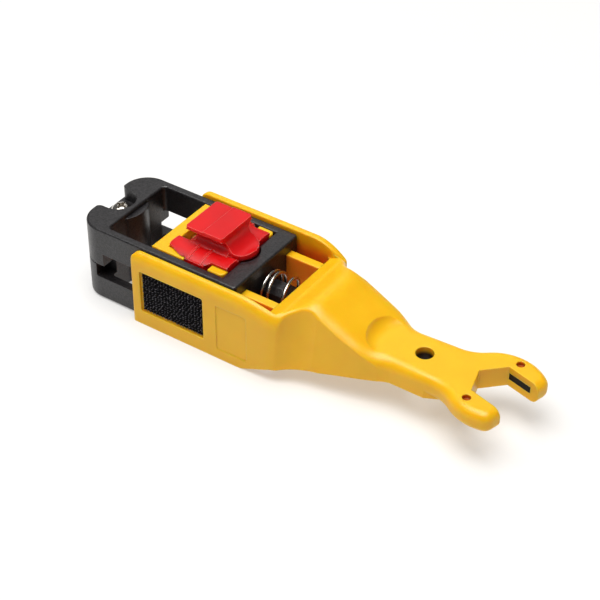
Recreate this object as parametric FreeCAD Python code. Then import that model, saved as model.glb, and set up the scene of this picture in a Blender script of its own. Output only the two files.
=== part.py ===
import FreeCAD
import Part
import math
import os

Vector = FreeCAD.Vector

# Coaxial cable stripper with a wrench head. Millimetres, +Z up, lying on the underside of its arms.
# X runs from the mouth of the handle's arms (zero) towards the wrench head; Y is zero on the middle plane.
# The finished model is moved along X at the end, so that its origin is the bottom centre of its box.

# Driving dimensions: handle arms and the trough between them
handle_width = 27.9
arm_height = 18.9
arm_wall = 1.9
arm_roll = 1.7
arm_roll_drop = 3.0
arm_end_round = 0.9
arm_nose_round = 2.4
trough_length = 35.7
trough_corner_round = 1.0

# Driving dimensions: shoulder, hump, side scallops and dish
dip_length = 7.0
shoulder_edge_height = 16.5
valley_length = 2.8
valley_height = 17.4
valley_roll = 2.4
valley_roll_drop = 3.8
hump_length = 8.5
hump_height = 20.05
hump_roll = 6.2
hump_roll_drop = 4.15
hump_inset = 3.35
slope_length = 14.3
slope_inset = 4.25
slope_roll = 4.6
slope_roll_drop = 3.1
run_out_length = 4.5
ease_length = 3.6
ease_samples = 24
skin_sections = 19
ridge_length = 2.3
ridge_lean = 1.3
ridge_round = 0.8
scallop_length = 10.3
scallop_depth = 2.55
scallop_lean = 2.9
scallop_hollow = 0.45
scallop_hollow_growth = 1.1
scallop_knee_inset = 5.65
scallop_reach = 1.2
dish_radius = 10.5
dish_floor_round = 3.4
dish_offset = 1.4

# Driving dimensions: rising underside, neck and hanging hole
heel_length = 6.0
keel_length = 1.5
keel_height = 3.2
neck_bottom = 7.2
neck_top = 12.75
neck_width = 13.5
neck_round = 2.7
neck_length = 8.2
head_step = 0.6
head_step_length = 5.5
hang_hole_diameter = 4.0
hang_hole_offset = 4.3

# Driving dimensions: wrench head
head_length = 22.5
head_yaw_deg = 15.0
head_radius = 10.9
head_set_back = 1.3
head_edge_round = 2.0
head_foot_round = 2.0
flare_radius = 8.5
wrench_across_flats = 11.1
jaw_reach = 5.1
jaw_tip_round = 2.4
insert_length = 5.9
insert_thickness = 1.6
insert_depth = 2.4
insert_set_back = 3.0
insert_drop = 2.4
locating_hole_diameter = 1.9
locating_hole_depth = 1.0
locating_hole_set_back = 2.2
locating_hole_spread = 15.8

# Driving dimensions: grip pads, and the bare panel beside the near one
pad_start = 2.6
pad_length = 17.3
pad_bottom = 3.6
pad_height = 11.0
pad_recess = 0.7
pad_thickness = 0.5
pad_margin = 0.1
pad_corner_round = 0.5
panel_start = 23.4
panel_length = 8.0
panel_bottom = 2.6
panel_height = 11.9
panel_depth = 0.2

# Driving dimensions: sliding carriage
slide_gap = 0.15
floor_gap = 0.25
carriage_rise = 0.5
parting_height = 9.45
parting_bevel = 0.15
rail_wall = 2.0
cable_gap = 8.8
front_wall = 7.9
rear_wall = 4.65
front_corner_round = 5.9
window_corner_round = 1.0
rear_corner_round = 0.9
carriage_edge_round = 0.5
slot_drop = 3.35
slot_rise = 3.35
upper_slot_relief = 0.6
lower_slot_relief = 2.9
slot_tail = 2.2
slot_inset = 1.6
boss_radius = 6.2
boss_drop = 1.1
notch_radius = 4.15
notch_offset = 0.7
notch_depth = 3.4
notch_mouth_round = 1.6
travel = 5.0

# Driving dimensions: screws of the carriage
screw_set_in = 3.3
screw_head_diameter = 4.8
screw_head_height = 1.9
screw_rim_height = 0.65
screw_dome_drop = 0.3
screw_shank_diameter = 2.5
screw_length = 13.0
screw_gap = 0.05
screw_end_gap = 0.5
recess_width = 0.7
recess_span = 2.6
recess_depth = 1.0
rear_screw_inset = 2.75
rear_head_diameter = 3.8
rear_head_height = 1.4
rear_shank_diameter = 2.0
rear_screw_length = 12.0
rear_head_sink = 0.4
rear_head_gap = 0.1

# Driving dimensions: spring and its post
spring_mean_radius = 4.5
spring_wire = 0.8
spring_dead_turns = 1.5
spring_dead_pitch = 1.2
spring_live_turns = 1.5
spring_seat_gap = 0.03
spring_points_per_turn = 8
spring_wire_sides = 8
post_width = 5.0
post_height = 5.15
post_length = 6.2
post_chamfer = 1.3
post_pocket_gap = 0.4
post_pocket_spare = 1.0

# Driving dimensions: cassette holder
holder_start = 3.2
holder_length = 19.2
holder_bottom = 1.2
holder_front_wall = 3.2
holder_side_wall = 2.0
holder_floor = 1.8
holder_corner_round = 1.1
holder_edge_round = 0.25
tab_notch_offset = 8.6
tab_notch_length = 6.6
tab_notch_depth = 2.2
rib_inset = 0.15
rib_width = 2.15
rib_bottom = 5.0
rib_slot_gap = 0.2
tenon_length = 5.0
tenon_inset = 1.5

# Driving dimensions: blades
blade_thickness = 0.45
blade_spacing = 6.35
blade_width = 7.8
blade_drop = 3.9
blade_shoulder = 1.2
blade_tail = 4.0
blade_slit_gap = 0.05
blade_bevel = 1.6
core_blade_reach = 4.6
jacket_blade_reach = 3.8

# Driving dimensions: brass pin behind the holder's front wall
pin_diameter = 2.0
pin_wall_gap = 0.3
pin_drop = 1.4
pin_dome = 0.8
pin_seat_depth = 1.2

# Driving dimensions: red blade retainer
retainer_gap = 0.15
retainer_height = 5.8
cap_offset = 6.4
cap_length = 9.7
cap_inset = 4.1
cap_thickness = 1.0
cap_step = 0.2
cap_step_length = 5.1
cap_edge_round = 0.6
groove_radius = 2.0
groove_depth = 1.75
wing_thickness = 0.9
wing_roll_radius = 6.8
wing_roll_inset = 3.95
tab_taper = 1.2
wing_front_inset = 2.15
wing_rear_inset = 1.75
lobe_radius = 4.2
lobe_overhang = 1.8
lobe_gap = 0.35
lobe_notch_depth = 3.35
rear_hollow_radius = 3.4
blade_bay_margin = 2.0
blade_backing_gap = 0.1
tab_gap = 0.2
grip_rib_width = 0.5
grip_rib_height = 0.3
grip_rib_spacing = 3.4

# Places that follow from the driving dimensions
handle_half = handle_width / 2
trough_half = handle_half - arm_wall
dip_x = trough_length - dip_length
ridge_x = trough_length + ridge_length
valley_x = trough_length + valley_length
hump_x = trough_length + hump_length
slope_x = hump_x + slope_length
knee_x = slope_x - ease_length / 2
neck_x = slope_x + run_out_length
dish_x = neck_x + dish_offset
neck_half = neck_width / 2
hump_half = handle_half - hump_inset
slope_half = handle_half - slope_inset
head_x = neck_x + head_length
head_bottom = neck_bottom + head_step
carriage_top = arm_height + carriage_rise
carriage_half = trough_half - slide_gap
window_half = carriage_half - rail_wall
holder_half = window_half - slide_gap
pocket_half = holder_half - holder_side_wall
holder_rear_x = holder_start + holder_length
holder_inner_x = holder_start + holder_front_wall
carriage_front_x = -cable_gap - front_wall
window_rear_x = holder_rear_x + slide_gap
carriage_rear_x = window_rear_x + rear_wall
screw_x = carriage_front_x + screw_set_in
notch_floor = carriage_top - notch_depth
rib_outer = holder_half - rib_inset
rib_inner = rib_outer - rib_width
rib_top = shoulder_edge_height
rear_screw_x = window_rear_x + rear_wall / 2
rear_screw_y = rib_inner - rear_screw_inset
spring_height = parting_height + post_height / 2
spring_length = trough_length - carriage_rear_x
blade_tail_x = holder_inner_x + blade_tail
lobe_x = holder_rear_x + lobe_overhang - lobe_radius
retainer_top = carriage_top + retainer_height
wing_bottom = carriage_top + retainer_gap
wing_top = wing_bottom + wing_thickness
cap_half = holder_half - cap_inset
far = 5 * handle_width
overcut = 1.0
hairline = 1e-4


def box(x0, x1, y0, y1, z0, z1):
    """Rectangular block between two corners."""
    return Part.makeBox(x1 - x0, y1 - y0, z1 - z0, Vector(x0, y0, z0))


def middle_box(x0, x1, half, z0, z1):
    """Rectangular block lying evenly across the middle plane."""
    return box(x0, x1, -half, half, z0, z1)


def prism(points, direction):
    """Straight-sided outline drawn along a direction."""
    outline = Part.makePolygon(points + points[:1])
    return Part.Face(outline).extrude(direction)


def plan_prism(points, z0, z1):
    """Outline in plan, drawn up from z0 to z1."""
    return prism([Vector(x, y, z0) for x, y in points], Vector(0, 0, z1 - z0))


def side_prism(points, half):
    """Outline seen from the side, drawn across the middle plane."""
    return prism([Vector(x, -half, z) for x, z in points], Vector(0, 2 * half, 0))


def upright(radius, x, y, z0, z1):
    """Round bar along Z."""
    return Part.makeCylinder(radius, z1 - z0, Vector(x, y, z0))


def crosswise(radius, x, z, half):
    """Round bar along Y."""
    return Part.makeCylinder(radius, 2 * half, Vector(x, -half, z), Vector(0, 1, 0))


def lengthwise(radius, x0, x1, y, z):
    """Round bar along X."""
    return Part.makeCylinder(radius, x1 - x0, Vector(x0, y, z), Vector(1, 0, 0))


def mirrored(solid):
    """Mirror image across the middle plane."""
    return solid.mirror(Vector(0, 0, 0), Vector(0, 1, 0))


def middle(edge):
    """Point half-way along an edge."""
    return edge.valueAt((edge.FirstParameter + edge.LastParameter) / 2)


def is_upright(edge):
    """True for a straight edge along Z."""
    return edge.BoundBox.XLength < hairline and edge.BoundBox.YLength < hairline


def is_level(edge, z):
    """True for an edge lying at one height."""
    return abs(edge.BoundBox.ZMax - z) < hairline and edge.BoundBox.ZLength < 10 * hairline


def round_where(solid, radius, wanted):
    """Fillet the wanted edges of a solid."""
    return solid.makeFillet(radius, [edge for edge in solid.Edges if wanted(edge)])


def quarter_roll(start, corner, end):
    """Quarter of an ellipse from start to end, tangent to the lines that meet in the corner."""
    roll = Part.BezierCurve()
    roll.setPoles([start, corner, end])
    roll.setWeight(2, math.sqrt(0.5))
    return roll.toShape()


def body_section(x, half, top, roll, drop):
    """Cross-section of the handle: flat base and sides, upper corners rolled over a width and a drop."""
    low_left = Vector(x, -half, 0)
    low_right = Vector(x, half, 0)
    right_side = Vector(x, half, top - drop)
    right_top = Vector(x, half - roll, top)
    left_top = Vector(x, roll - half, top)
    left_side = Vector(x, -half, top - drop)
    return Part.Wire([
        Part.LineSegment(low_left, low_right).toShape(),
        Part.LineSegment(low_right, right_side).toShape(),
        quarter_roll(right_side, Vector(x, half, top), right_top),
        Part.LineSegment(right_top, left_top).toShape(),
        quarter_roll(left_top, Vector(x, -half, top), left_side),
        Part.LineSegment(left_side, low_left).toShape(),
    ])


def handle_arms():
    """Straight front of the handle before the trough is cut, its nose rounded in plan and from the side."""
    section = body_section(0, handle_half, arm_height, arm_roll, arm_roll_drop)
    front = Part.Face(section).extrude(Vector(dip_x, 0, 0))
    front = round_where(front, arm_end_round, lambda edge: is_upright(edge) and middle(edge).x < hairline)
    nose = middle_box(0, arm_nose_round, far, arm_height - arm_nose_round, arm_height)
    nose = nose.cut(crosswise(arm_nose_round, arm_nose_round, arm_height - arm_nose_round, far))
    return front.cut(nose)


def eased(runs, x):
    """Height or width on a chain of straight runs, averaged over a short length so the corners go smooth."""
    total = 0.0
    for count in range(ease_samples):
        place = x + ease_length * ((count + 0.5) / ease_samples - 0.5)
        value = runs[0][1]
        for (x0, v0), (x1, v1) in zip(runs, runs[1:]):
            if place >= x0:
                value = v0 + (v1 - v0) * min(1, (place - x0) / (x1 - x0))
        total += value
    return total / ease_samples


def handle_shoulder():
    """Valley, hump and slope in one smooth skin through evenly spaced cross-sections."""
    start = dip_x + ease_length / 2
    end = neck_x - ease_length / 2
    tops = [
        (start, arm_height),
        (valley_x, valley_height),
        (hump_x, hump_height),
        (slope_x, neck_top),
        (end, neck_top),
    ]
    halves = [
        (ridge_x, handle_half),
        (hump_x, hump_half),
        (knee_x, slope_half),
        (end, neck_half),
    ]
    rolls = [
        (start, arm_roll),
        (valley_x, valley_roll),
        (hump_x, hump_roll),
        (knee_x, slope_roll),
        (end, neck_round),
    ]
    drops = [
        (start, arm_roll_drop),
        (valley_x, valley_roll_drop),
        (hump_x, hump_roll_drop),
        (knee_x, slope_roll_drop),
        (end, neck_round),
    ]
    sections = []
    for count in range(skin_sections):
        x = dip_x + (neck_x - dip_x) * count / (skin_sections - 1)
        sections.append(body_section(x, eased(halves, x), eased(tops, x), eased(rolls, x), eased(drops, x)))
    return Part.makeLoft(sections, True, False)


def scallop_outline(share):
    """Plan of the side cut at a share of the arm height: a hollow behind the ridge, then a run-out."""
    z = arm_height * share
    ridge = Vector(ridge_x + ridge_lean * share, handle_half, z)
    deep = Vector(trough_length + scallop_length, handle_half - scallop_depth - scallop_lean * share, z)
    knee = Vector(knee_x, handle_half - scallop_knee_inset, z)
    end = Vector(neck_x, neck_half, z)
    hollow = scallop_hollow + scallop_hollow_growth * share
    bend = (ridge + deep) * 0.5 - Vector(hollow, hollow, 0)
    return Part.Wire([
        Part.LineSegment(Vector(ridge.x, far, z), ridge).toShape(),
        Part.Arc(ridge, bend, deep).toShape(),
        Part.LineSegment(deep, knee).toShape(),
        Part.LineSegment(knee, end).toShape(),
        Part.LineSegment(end, Vector(neck_x, far, z)).toShape(),
        Part.LineSegment(Vector(neck_x, far, z), Vector(ridge.x, far, z)).toShape(),
    ])


def head_place(u, v, z):
    """Point given along (u) and across (v) the turned wrench opening."""
    yaw = math.radians(-head_yaw_deg)
    x = head_x + u * math.cos(yaw) - v * math.sin(yaw)
    y = u * math.sin(yaw) + v * math.cos(yaw)
    return Vector(x, y, z)


def head_prism(points, z0, z1):
    """Outline in the wrench head's own directions, drawn up from z0 to z1."""
    return prism([head_place(u, v, z0) for u, v in points], Vector(0, 0, z1 - z0))


def jaw_tip_cutter(side):
    """Corner to cut off one jaw, so its tip is a small round that runs into the head's circle."""
    reach = jaw_reach - jaw_tip_round
    offset = reach + head_set_back
    inner = head_radius - jaw_tip_round
    v = math.sqrt(inner ** 2 - offset ** 2)
    centre = head_place(reach, side * v, 0)
    wedge = head_prism([
        (reach, side * v),
        (reach + far * offset / inner, side * (v + far * v / inner)),
        (reach + far, side * v),
        (reach + far, 0),
        (jaw_reach, 0),
        (jaw_reach, side * v),
    ], 0, far)
    return wedge.cut(upright(jaw_tip_round, centre.x, centre.y, 0, far))


def chin_section(x, half, low, high):
    """Rectangular cross-section of the ramp under the head."""
    corners = [Vector(x, -half, low), Vector(x, half, low), Vector(x, half, high), Vector(x, -half, high)]
    return Part.makePolygon(corners + corners[:1])


def handle_head():
    """Wrench head flaring out of the neck, with a rounded rim and a hexagonal opening."""
    start = neck_x + neck_length
    centre = head_place(-head_set_back, 0, head_bottom)
    disc = upright(head_radius, centre.x, centre.y, head_bottom, neck_top)
    plate = middle_box(neck_x, centre.x, neck_half, head_bottom, neck_top).fuse(disc).removeSplitter()
    waist_x = (neck_x + start) / 2
    plate = round_where(plate, flare_radius, lambda edge: is_upright(edge) and middle(edge).x > waist_x)
    plate = plate.cut(jaw_tip_cutter(1)).cut(jaw_tip_cutter(-1)).removeSplitter()
    plate = round_where(plate, head_edge_round,
                        lambda edge: is_level(edge, neck_top) and edge.BoundBox.XMax > start)
    plate = round_where(plate, head_foot_round,
                        lambda edge: is_level(edge, head_bottom) and edge.BoundBox.XMax > start)
    plate = plate.cut(middle_box(0, start, far, 0, far))
    middle_z = (head_bottom + neck_top) / 2
    chin = Part.makeLoft([
        chin_section(start, neck_half, neck_bottom, middle_z),
        chin_section(start + head_step_length, neck_half - head_foot_round, head_bottom, middle_z),
    ], True, True)
    plate = plate.fuse(chin)
    half_gap = wrench_across_flats / 2
    corner = half_gap / math.sqrt(3)
    outer = 2 * head_radius
    return plate.cut(head_prism([
        (-2 * corner, 0),
        (-corner, half_gap),
        (outer, half_gap),
        (outer, -half_gap),
        (-corner, -half_gap),
    ], 0, far))


def jaw_insert(side):
    """Steel plate let into the flat of one jaw; side is +1 or -1."""
    half_gap = wrench_across_flats / 2
    top = neck_top - insert_drop + insert_thickness / 2
    return head_prism([
        (-insert_set_back, side * half_gap),
        (insert_length - insert_set_back, side * half_gap),
        (insert_length - insert_set_back, side * (half_gap + insert_depth)),
        (-insert_set_back, side * (half_gap + insert_depth)),
    ], top - insert_thickness, top)


def is_ridge(edge):
    """True for the upright edge between an arm's flat side and the scallop behind it."""
    point = middle(edge)
    beside = abs(point.y) > handle_half - ridge_round
    return beside and edge.BoundBox.ZLength > keel_height and ridge_x < point.x < hump_x


def arm_recess(x0, length, z0, height, depth, corner):
    """Shallow rounded pocket in the near arm's outer face."""
    pocket = box(x0, x0 + length, -handle_half - overcut, depth - handle_half, z0, z0 + height)
    return round_where(pocket, corner, lambda edge: edge.BoundBox.YLength > depth)


def make_handle():
    """Yellow handle moulding."""
    solid = handle_arms().fuse(handle_shoulder())
    solid = solid.cut(side_prism([
        (trough_length - heel_length, 0),
        (trough_length + keel_length, keel_height),
        (neck_x, neck_bottom),
        (far, neck_bottom),
        (far, -overcut),
        (trough_length - heel_length, -overcut),
    ], far))
    scallop = Part.makeLoft([scallop_outline(0), scallop_outline(scallop_reach)], True, True)
    solid = solid.cut(scallop).cut(mirrored(scallop))
    solid = round_where(solid, ridge_round, is_ridge)
    dish = upright(dish_radius, dish_x, 0, neck_top, far)
    dish = round_where(dish, dish_floor_round, lambda edge: is_level(edge, neck_top))
    solid = solid.cut(dish)
    neck = Part.makeLoft([
        body_section(neck_x, neck_half, neck_top, neck_round, neck_round),
        body_section(neck_x + neck_length, neck_half, neck_top, head_edge_round, head_edge_round),
    ], True, True)
    neck = neck.cut(middle_box(0, far, far, -overcut, neck_bottom))
    solid = solid.fuse(neck).fuse(handle_head())
    trough = middle_box(-overcut, trough_length, trough_half, -overcut, far)
    trough = round_where(trough, trough_corner_round, lambda edge: is_upright(edge) and middle(edge).x > 0)
    ramp = side_prism([
        (0, shoulder_edge_height),
        (trough_length, shoulder_edge_height),
        (hump_x, hump_height),
        (hump_x, far),
        (0, far),
    ], trough_half)
    solid = solid.cut(trough).cut(ramp)
    solid = solid.cut(upright(hang_hole_diameter / 2, neck_x + hang_hole_offset, 0, 0, far))
    pad = arm_recess(pad_start, pad_length, pad_bottom, pad_height, pad_recess, pad_corner_round)
    panel = arm_recess(panel_start, panel_length, panel_bottom, panel_height, panel_depth, pad_corner_round)
    solid = solid.cut(pad).cut(mirrored(pad)).cut(panel)
    pocket_reach = carriage_rear_x + post_length + travel + post_pocket_spare
    pocket_top = parting_height + post_height + post_pocket_gap
    pocket_bottom = parting_height - post_pocket_gap
    pocket_side = post_width / 2 + post_pocket_gap
    solid = solid.cut(middle_box(0, pocket_reach, pocket_side, pocket_bottom, pocket_top))
    tenon = holder_tenon()
    solid = solid.cut(tenon).cut(mirrored(tenon))
    for side in (1, -1):
        hole = head_place(-locating_hole_set_back, side * locating_hole_spread / 2, neck_top)
        floor = neck_top - locating_hole_depth
        solid = solid.cut(upright(locating_hole_diameter / 2, hole.x, hole.y, floor, far))
        solid = solid.cut(jaw_insert(side))
    return solid


def make_grip_pad():
    """Pad of stiff bristle cloth glued into the near arm's pocket."""
    x0 = pad_start + pad_margin
    x1 = pad_start + pad_length - pad_margin
    floor = pad_recess - handle_half
    z0 = pad_bottom + pad_margin
    z1 = pad_bottom + pad_height - pad_margin
    pad = box(x0, x1, floor - pad_thickness, floor, z0, z1)
    corner = pad_corner_round - pad_margin
    return round_where(pad, corner, lambda edge: edge.BoundBox.YLength > pad_thickness / 2)


def holder_tenon():
    """Hidden end of the near rib, seated inside the shoulder."""
    return box(trough_length, trough_length + tenon_length, -rib_outer, -rib_inner,
               rib_bottom + tenon_inset, rib_top - tenon_inset)


def blade_slit(y):
    """Slit for one blade through the holder's front wall."""
    half = blade_thickness / 2 + blade_slit_gap
    low = parting_height - blade_drop - blade_slit_gap
    high = low + blade_width + 2 * blade_slit_gap
    return box(holder_start - overcut, holder_inner_x + overcut, y - half, y + half, low, high)


def make_cassette_holder():
    """Yellow holder: an open-backed tray on two ribs that plug into the shoulder."""
    tray = middle_box(holder_start, holder_rear_x, holder_half, holder_bottom, carriage_top)
    tray = round_where(tray, holder_corner_round,
                       lambda edge: is_upright(edge) and middle(edge).x > holder_inner_x)
    rib_x = holder_rear_x - holder_corner_round
    rib = box(rib_x, trough_length, -rib_outer, -rib_inner, rib_bottom, rib_top)
    rib = round_where(rib, holder_edge_round,
                      lambda edge: is_level(edge, rib_top) and edge.BoundBox.YLength < hairline)
    rib = rib.fuse(holder_tenon())
    tray = tray.fuse(rib).fuse(mirrored(rib)).removeSplitter()
    floor = holder_bottom + holder_floor
    tray = tray.cut(middle_box(holder_inner_x, holder_rear_x, pocket_half, floor, far))
    tray = round_where(tray, holder_edge_round, lambda edge: is_level(edge, carriage_top))
    notch_x = holder_start + tab_notch_offset
    notch_end = notch_x + tab_notch_length
    tray = tray.cut(middle_box(notch_x, notch_end, far, carriage_top - tab_notch_depth, far))
    tray = tray.cut(pin_bar())
    for y in (-blade_spacing / 2, blade_spacing / 2):
        tray = tray.cut(blade_slit(y))
    return tray


def make_blade(y, reach):
    """Steel blade: pointed plate through the wall, with taller shoulders that stop it behind the wall."""
    half = blade_thickness / 2
    tip = holder_start - reach
    low = parting_height - blade_drop
    high = low + blade_width
    plate = plan_prism([
        (tip, y),
        (tip + blade_bevel, y + half),
        (holder_inner_x, y + half),
        (holder_inner_x, y - half),
        (tip + blade_bevel, y - half),
    ], low, high)
    tail = box(holder_inner_x, blade_tail_x, y - half, y + half, low - blade_shoulder, high + blade_shoulder)
    return plate.fuse(tail).removeSplitter()


def pin_bar():
    """Round bar of the guide pin, seated in the tray's floor between the blades."""
    radius = pin_diameter / 2
    x = holder_inner_x + pin_wall_gap + radius
    return upright(radius, x, 0, holder_bottom + holder_floor - pin_seat_depth, carriage_top - pin_drop)


def make_guide_pin():
    """Brass guide pin with a domed upper end."""
    return round_where(pin_bar(), pin_dome, lambda edge: is_level(edge, carriage_top - pin_drop))


def mouth_flare():
    """Corner to cut off one side of the notch's mouth, so that it leaves a round."""
    x = carriage_front_x + notch_mouth_round
    y = notch_radius + notch_mouth_round
    corner = box(carriage_front_x - overcut, x, notch_radius - overcut, y, notch_floor, far)
    return corner.cut(upright(notch_mouth_round, x, y, notch_floor, far))


def carriage_ring():
    """Black ring that slides between the arms, before it is split into halves."""
    ring = middle_box(carriage_front_x, carriage_rear_x, carriage_half, floor_gap, carriage_top)
    ring = round_where(ring, front_corner_round, lambda edge: is_upright(edge) and middle(edge).x < 0)
    ring = round_where(ring, rear_corner_round,
                       lambda edge: is_upright(edge) and middle(edge).x > holder_rear_x)
    window = middle_box(-cable_gap, window_rear_x, window_half, -overcut, far)
    window = round_where(window, window_corner_round, lambda edge: is_upright(edge) and middle(edge).x < 0)
    ring = ring.cut(window)
    ring = round_where(ring, carriage_edge_round,
                       lambda edge: is_level(edge, carriage_top) or is_level(edge, floor_gap))
    boss = upright(boss_radius, screw_x, 0, floor_gap + carriage_edge_round, carriage_top - boss_drop)
    ring = ring.fuse(boss.common(middle_box(screw_x, far, far, 0, far)))
    notch_x = screw_x - notch_offset
    notch = upright(notch_radius, notch_x, 0, notch_floor, far)
    mouth = middle_box(carriage_front_x - overcut, notch_x, notch_radius, notch_floor, far)
    flare = mouth_flare()
    ring = ring.cut(notch.fuse(mouth)).cut(flare).cut(mirrored(flare))
    inner = window_half - slot_inset
    upper_x = -cable_gap - upper_slot_relief
    lower_x = -cable_gap - lower_slot_relief
    for y0, y1 in ((-far, -inner), (inner, far)):
        ring = ring.cut(box(upper_x, slot_tail, y0, y1, parting_height, parting_height + slot_rise))
        ring = ring.cut(box(lower_x, slot_tail, y0, y1, parting_height - slot_drop, parting_height))
    rib_slot = box(holder_rear_x, far, -rib_outer - rib_slot_gap, rib_slot_gap - rib_inner,
                   rib_bottom - rib_slot_gap, rib_top + rib_slot_gap)
    ring = ring.cut(rib_slot).cut(mirrored(rib_slot))
    return ring.cut(upright(lobe_radius + lobe_gap, lobe_x, 0, carriage_top - lobe_notch_depth, far))


def screw_holes():
    """Room for the three screws that close the carriage."""
    tip = notch_floor - screw_length - screw_end_gap
    holes = upright(screw_shank_diameter / 2 + screw_gap, screw_x, 0, tip, notch_floor)
    seat = floor_gap + rear_head_sink + rear_head_height
    rear_tip = seat + rear_screw_length + screw_end_gap
    for y in (-rear_screw_y, rear_screw_y):
        head = upright(rear_head_diameter / 2 + rear_head_gap, rear_screw_x, y, -overcut, seat)
        shank = upright(rear_shank_diameter / 2 + screw_gap, rear_screw_x, y, seat, rear_tip)
        holes = holes.fuse(head).fuse(shank)
    return holes


def make_carriage_half(ring, upper):
    """Upper or lower half of the ring, with a fine bevel along the parting line."""
    low, high = (parting_height, far) if upper else (-overcut, parting_height)
    half = ring.common(box(-far, far, -far, far, low, high)).cut(screw_holes())
    half = half.makeChamfer(parting_bevel, [edge for edge in half.Edges if is_parting(edge)])
    if upper:
        post_top = parting_height + post_height
        tip = carriage_rear_x + post_length
        post = middle_box(carriage_rear_x, tip, post_width / 2, parting_height, post_top)
        post = post.makeChamfer(post_chamfer, [
            edge for edge in post.Edges
            if is_level(edge, post_top) and middle(edge).x > carriage_rear_x + hairline
        ])
        half = half.fuse(post)
    return half.removeSplitter()


def is_parting(edge):
    """True for an edge of the parting plane that shows on the outside of the carriage."""
    point = middle(edge)
    side = abs(point.y) > carriage_half - 10 * hairline
    nose = point.x < carriage_front_x + front_corner_round
    off_screw = math.hypot(point.x - screw_x, point.y) > screw_head_diameter / 2
    return is_level(edge, parting_height) and (side or nose and off_screw)


def cross_recess(x, y, top):
    """Cross cut for the driver."""
    arm = recess_span / 2
    half = recess_width / 2
    floor = top - recess_depth
    along = box(x - arm, x + arm, y - half, y + half, floor, top + overcut)
    across = box(x - half, x + half, y - arm, y + arm, floor, top + overcut)
    return along.fuse(across)


def make_front_screw():
    """Pan-head screw in the notch, turned about its axis."""
    shank = screw_shank_diameter / 2
    head = screw_head_diameter / 2
    low = notch_floor - screw_length
    top = notch_floor + screw_head_height
    tip = Vector(0, 0, low)
    point = Vector(shank, 0, low + shank)
    neck = Vector(shank, 0, notch_floor)
    seat = Vector(head, 0, notch_floor)
    rim = Vector(head, 0, notch_floor + screw_rim_height)
    dome = Vector(head - screw_rim_height, 0, top - screw_dome_drop)
    crown = Vector(0, 0, top)
    outline = Part.Wire([
        Part.LineSegment(tip, point).toShape(),
        Part.LineSegment(point, neck).toShape(),
        Part.LineSegment(neck, seat).toShape(),
        Part.LineSegment(seat, rim).toShape(),
        Part.Arc(rim, dome, crown).toShape(),
        Part.LineSegment(crown, tip).toShape(),
    ])
    screw = Part.Face(outline).revolve(Vector(0, 0, 0), Vector(0, 0, 1), 360)
    screw = screw.translated(Vector(screw_x, 0, 0))
    return screw.cut(cross_recess(screw_x, 0, top))


def make_rear_screw(y):
    """Countersunk-away screw driven from below into the carriage's rear wall."""
    seat = floor_gap + rear_head_sink + rear_head_height
    head = upright(rear_head_diameter / 2, rear_screw_x, y, floor_gap + rear_head_sink, seat)
    shank = upright(rear_shank_diameter / 2, rear_screw_x, y, seat, seat + rear_screw_length)
    recess = cross_recess(rear_screw_x, y, 0).mirror(Vector(0, 0, 0), Vector(0, 0, 1))
    recess = recess.translated(Vector(0, 0, floor_gap + rear_head_sink))
    return head.fuse(shank).cut(recess)


def make_spring():
    """Compression spring along X: nearly closed turns against the carriage, then open turns."""
    start = carriage_rear_x + spring_wire / 2 + spring_seat_gap
    dead_length = spring_dead_pitch * spring_dead_turns
    live_length = spring_length - spring_wire - 2 * spring_seat_gap - dead_length
    steps = round((spring_dead_turns + spring_live_turns) * spring_points_per_turn)
    points = []
    for count in range(steps + 1):
        turn = count / spring_points_per_turn
        angle = 2 * math.pi * turn
        live_turn = max(turn - spring_dead_turns, 0)
        run = spring_dead_pitch * (turn - live_turn) + live_length * live_turn / spring_live_turns
        y = spring_mean_radius * math.sin(angle)
        z = spring_height - spring_mean_radius * math.cos(angle)
        points.append(Vector(start + run, y, z))
    path = Part.BSplineCurve()
    path.interpolate(points)
    along = path.tangent(path.FirstParameter)[0]
    inward = Vector(0, 0, 1)
    across = along.cross(inward)
    rim = []
    for count in range(spring_wire_sides + 1):
        angle = 2 * math.pi * (count + 0.5) / spring_wire_sides
        rim.append(points[0] + (inward * math.cos(angle) + across * math.sin(angle)) * (spring_wire / 2))
    section = Part.makePolygon(rim)
    return Part.Wire(path.toShape()).makePipeShell([section], True, False)


def retainer_grip():
    """Waisted grip: a cap on a neck that is hollowed all round, with a lobe over the ring's rear notch."""
    cap_x = holder_start + cap_offset
    cap_end = cap_x + cap_length
    cap_low = retainer_top - cap_thickness
    lobe_end = lobe_x + lobe_radius
    cap = middle_box(cap_x, cap_end, cap_half, cap_low - groove_radius, retainer_top)
    cap = cap.cut(middle_box(0, cap_end - cap_step_length, far, retainer_top - cap_step, far))
    cap = round_where(cap, cap_edge_round,
                      lambda edge: is_upright(edge) and middle(edge).z < retainer_top - cap_step)
    neck = middle_box(cap_x, lobe_end, cap_half, wing_bottom, cap_low)
    lobe = upright(lobe_radius, lobe_x, 0, 0, far).fuse(middle_box(0, lobe_x, far, 0, far))
    grip = cap.fuse(neck.common(lobe))
    groove_z = cap_low - groove_radius
    side_y = cap_half - groove_depth + groove_radius
    for y in (-side_y, side_y):
        grip = grip.cut(lengthwise(groove_radius, 0, far, y, groove_z))
    grip = grip.cut(crosswise(groove_radius, cap_x + groove_depth - groove_radius, groove_z, far))
    return grip.cut(crosswise(rear_hollow_radius, cap_end + rear_hollow_radius, cap_low, far))


def wing_roll(growth):
    """Rolled upper surface of one wing, raised by a growth for its ribs."""
    axis_y = holder_half - wing_roll_inset
    return lengthwise(wing_roll_radius + growth, 0, far, axis_y, wing_top - wing_roll_radius)


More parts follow.
